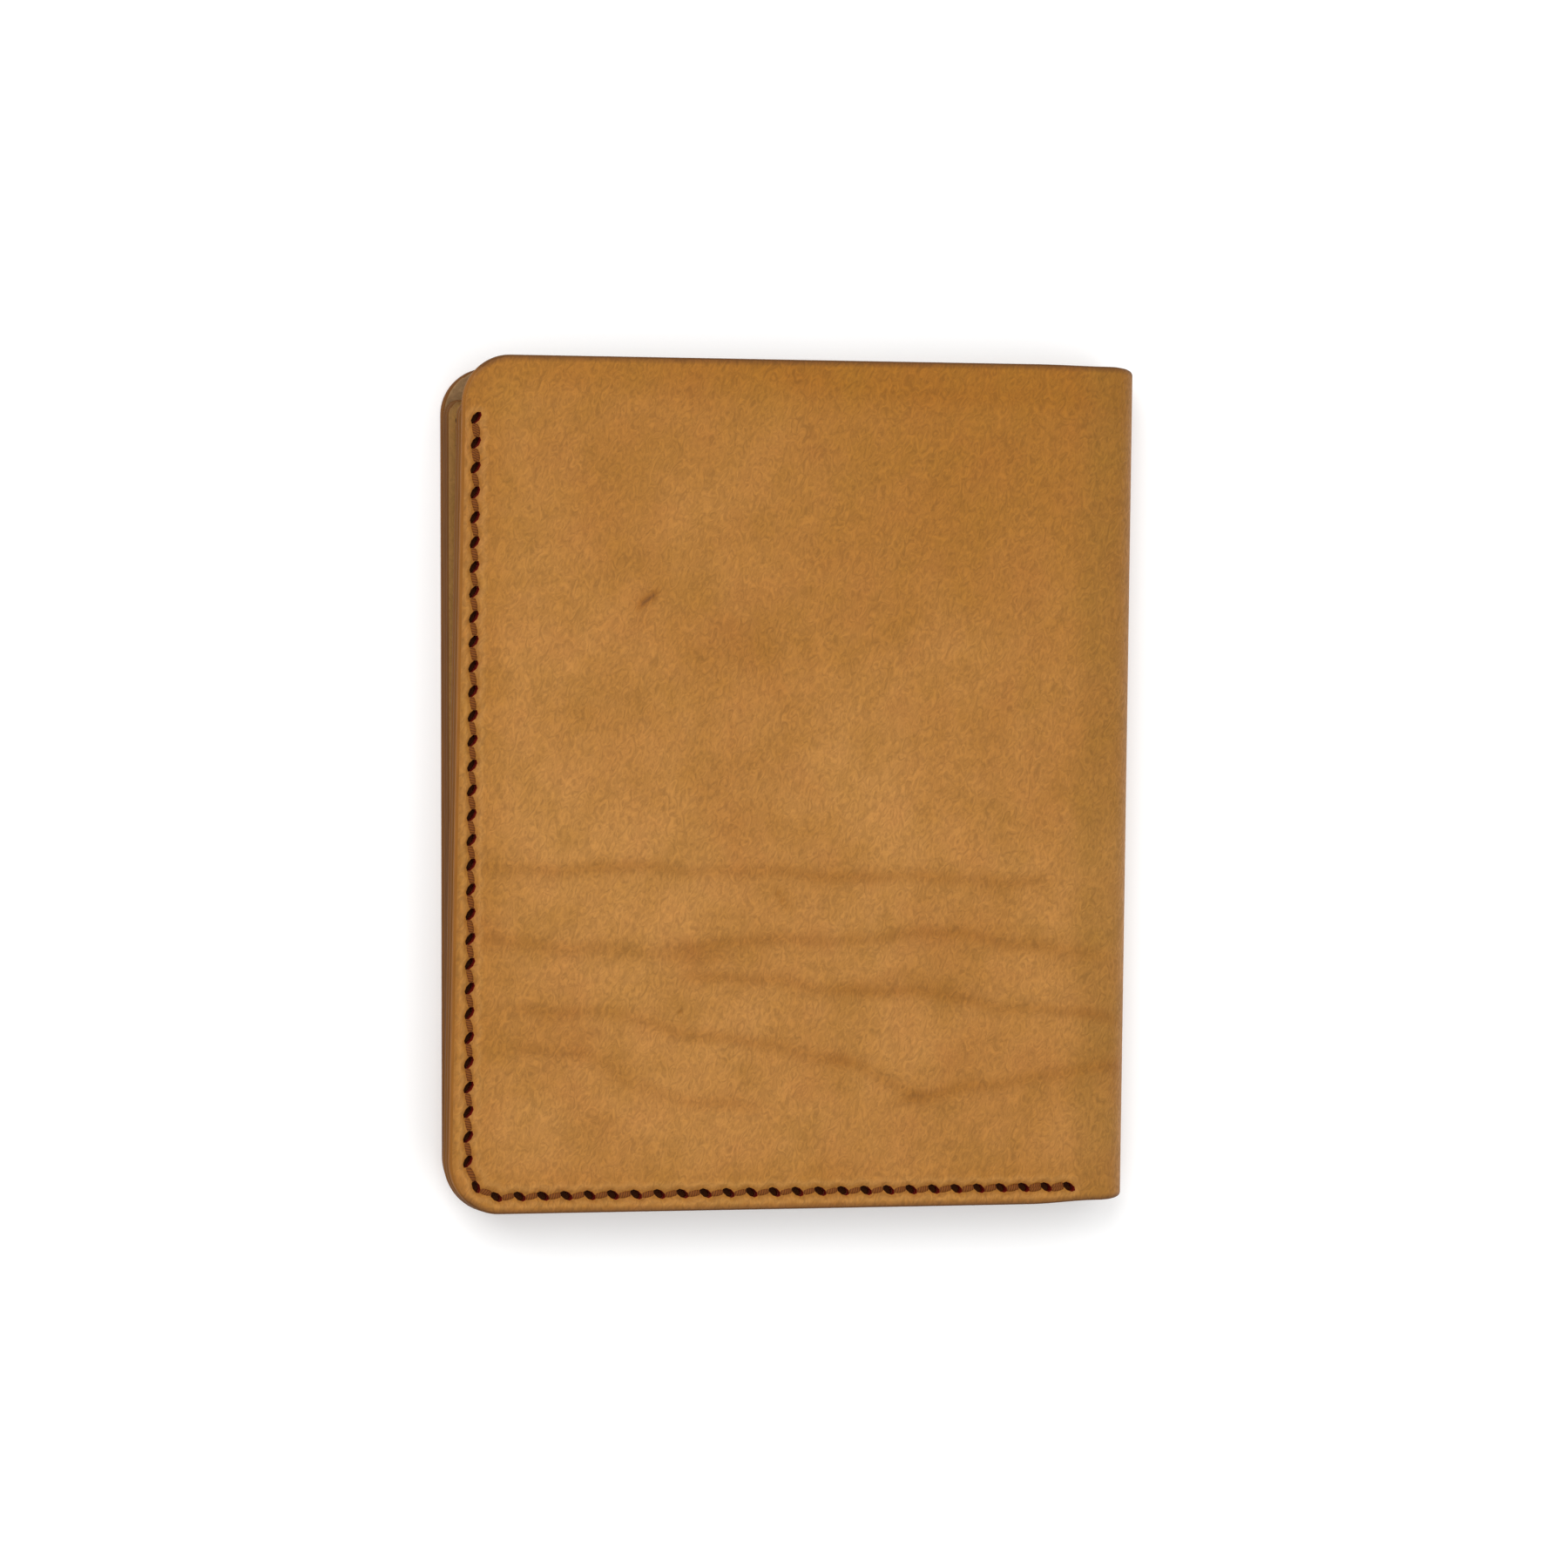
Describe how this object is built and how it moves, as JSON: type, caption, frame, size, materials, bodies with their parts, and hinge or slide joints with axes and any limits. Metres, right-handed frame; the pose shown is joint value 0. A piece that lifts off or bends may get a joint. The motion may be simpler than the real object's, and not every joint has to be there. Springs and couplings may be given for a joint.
{
  "type": "card holder",
  "caption": "Folding leather card holder, hand stitched along the open side and foot, with upright card slots on both inner panels and an open-topped note pocket behind them.",
  "frame": {"origin": "on the ground under the middle of the closed holder", "axes": "+X towards the fold, +Y towards the open top of the holder, +Z from the back leaf to the front leaf"},
  "size_m": [0.0882, 0.104, 0.0086],
  "materials": {
    "cover_leather": "smooth vegetable-tanned grain, tan",
    "inner_leather": "thin vegetable-tanned lining, natural tan",
    "thread": "waxed brown thread"
  },
  "bodies": {
    "back_leaf": {"cover_back": "cover_leather", "panel_back": "inner_leather", "slot_lower_back": "inner_leather", "slot_upper_back": "inner_leather", "seam_thread_back": "thread", "head_thread_back": "thread", "tack_thread_back": "thread"},
    "spine": {"cover_spine": "cover_leather"},
    "front_leaf": {"cover_front": "cover_leather", "panel_front": "inner_leather", "slot_lower_front": "inner_leather", "slot_upper_front": "inner_leather", "seam_thread_front": "thread", "head_thread_front": "thread", "tack_thread_front": "thread"}
  },
  "joints": [
    {"name": "back_bend", "type": "hinge", "parent": "back_leaf", "child": "spine", "pos_m": [0.04289, 0, 0.00126], "axis": [0, 1, 0], "range_deg": [0, 90]},
    {"name": "front_bend", "type": "hinge", "parent": "spine", "child": "front_leaf", "pos_m": [0.04289, 0, 0.00734], "axis": [0, 1, 0], "range_deg": [0, 90]}
  ],
  "couplings": [
    {"joint": "front_bend", "follows": "back_bend", "ratio": 1}
  ]
}
